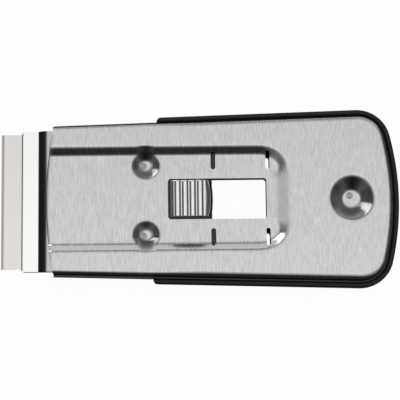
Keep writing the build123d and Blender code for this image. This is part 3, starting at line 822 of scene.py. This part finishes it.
bladeSteel = brushedSteel("bladeSteel", {
    "color": (0.75, 0.73, 0.7), "roughness": 0.26, "anisotropic": 0.5,
    "lineWidth": 0.2, "lineLength": 14.0, "lineDepth": 0.06,
    "blotchSize": 8.0, "blotchDepth": 0.05, "bump": 0.06, "bumpDepth": 0.01,
    # Painted shade: a dark line beside the jaw's lip and a darker ground bevel
    "shadeBands": (((-52.4, -51.9, (0.12, 0.1)), 0.75, -0.3), ((-59.0, -57.5, (0.1, 0.03)), 0.43, 0.0)),
})
blade = {
    "front": -58.35,
    "rear": -39.9,
    "low": 4.13,
    "thick": 0.3,
    "bevel": 0.85,
    "halfWidth": 20.0,
}
takeOver(razorBlade(blade), "blade", "blade")

carriageSteel = brushedSteel("carriageSteel", {
    "color": (0.06, 0.06, 0.06), "roughness": 0.38, "anisotropic": 0.5,
    "lineWidth": 0.3, "lineLength": 8.0, "lineDepth": 0.15,
    "blotchSize": 6.0, "blotchDepth": 0.15, "bump": 0.15, "bumpDepth": 0.015,
})
dress(["blade_carrier", "clamp_spacer"], carriageSteel)

latchSteel = brushedSteel("latchSteel", {
    "color": (0.05, 0.05, 0.05), "roughness": 0.34, "anisotropic": 0.5,
    "lineWidth": 0.3, "lineLength": 8.0, "lineDepth": 0.15,
    "blotchSize": 6.0, "blotchDepth": 0.15, "bump": 0.15, "bumpDepth": 0.015,
})
dress(["latch_plate"], latchSteel)

springSteel = brushedSteel("springSteel", {
    "color": (0.38, 0.37, 0.36), "roughness": 0.34, "anisotropic": 0.5,
    "lineWidth": 0.3, "lineLength": 8.0, "lineDepth": 0.15,
    "blotchSize": 4.0, "blotchDepth": 0.2, "bump": 0.12, "bumpDepth": 0.015,
})
dress(["leaf_spring"], springSteel)

rivetSteel = speckled("rivetSteel", {
    "color": (0.55, 0.55, 0.55), "metallic": 1.0, "specular": 0.5, "roughness": 0.2,
    "grainSize": 0.3, "grainDepth": 0.25, "bump": 0.2, "bumpDepth": 0.02,
})
dress(["clamp_rivets", "leaf_rivet"], rivetSteel)

# Pips at the middle of the dimples: a domed pin inside a rolled ring, the same on both faces
pips = {
    "places": ((-16.45, 10.15, 1.0), (-16.5, -10.6, 1.0), (44.2, 0.75, 1.3)),   # x, y, height of the seat
    "middle": 4.5,
    "shank": 0.5,
    "ring": (
        (1.02, 0.0), (1.01, 0.14), (0.95, 0.26), (0.86, 0.32), (0.76, 0.29), (0.69, 0.18), (0.62, 0.06),
        (0.55, 0.05), (0.49, 0.15), (0.42, 0.27), (0.3, 0.36), (0.15, 0.4), (0.0, 0.41),
    ),                           # radius and height over the seat
    "turns": 48,
}
takeOver(turnedPart("pinHeads", pips, [rivetSteel]), "shell_rivets", "body")

buttonSteel = speckled("buttonSteel", {
    "color": (0.83, 0.83, 0.83), "metallic": 1.0, "specular": 0.5, "roughness": 0.13,
    "grainSize": 1.2, "grainDepth": 0.3, "bump": 0.08, "bumpDepth": 0.02,
})
button = {
    "front": -8.63,
    "rear": 3.95,
    "foot": 5.9,
    "crest": 9.2,
    "ribHeight": 0.46,
    "ribPower": 0.68,            # below one the valleys are narrower than the crests
    "ribCount": 4,
    "pitch": 2.2,
    "firstValley": -7.5,
    "lastValley": 1.3,
    "frontDrop": 1.7,
    "rearDrop": 2.5,
    "shoulderPower": 1.25,
    "halfWidth": 5.35,
    "sideRoll": 0.25,
    "rearBow": 0.5,
}
takeOver(ribbedButton(button), "thumb_button", "latch")

trimRubber = speckled("trimRubber", {
    "color": (0.016, 0.016, 0.017), "metallic": 0.0, "specular": 0.3, "roughness": 0.5,
    "grainSize": 0.35, "grainDepth": 0.4, "bump": 0.25, "bumpDepth": 0.03,
})
trim = {
    "leftFront": -12.4,
    "rightFront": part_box("edge_trim")[0].x / mm,
    "lip": 0.54,
    "crest": 1.55,
    "outer": 2.3,
    "halfHeight": 1.6,
    "squareness": 2.7,
    "slotHalf": 0.65,
    "slotDepth": 0.89,
    "endRound": 1.3,
    "endShare": 0.1,
    "sectionCount": 33,
}
takeOver(edgeTrim(trim, casing), "edge_trim", "body")

shoeNylon = speckled("shoeNylon", {
    "color": (0.05, 0.05, 0.052), "metallic": 0.0, "specular": 0.4, "roughness": 0.5,
    "grainSize": 0.4, "grainDepth": 0.3, "bump": 0.2, "bumpDepth": 0.02,
})
dress(["guide_shoe_left", "guide_shoe_right"], shoeNylon)
print("nodes dressed")

scene.view_settings.view_transform = "Standard"
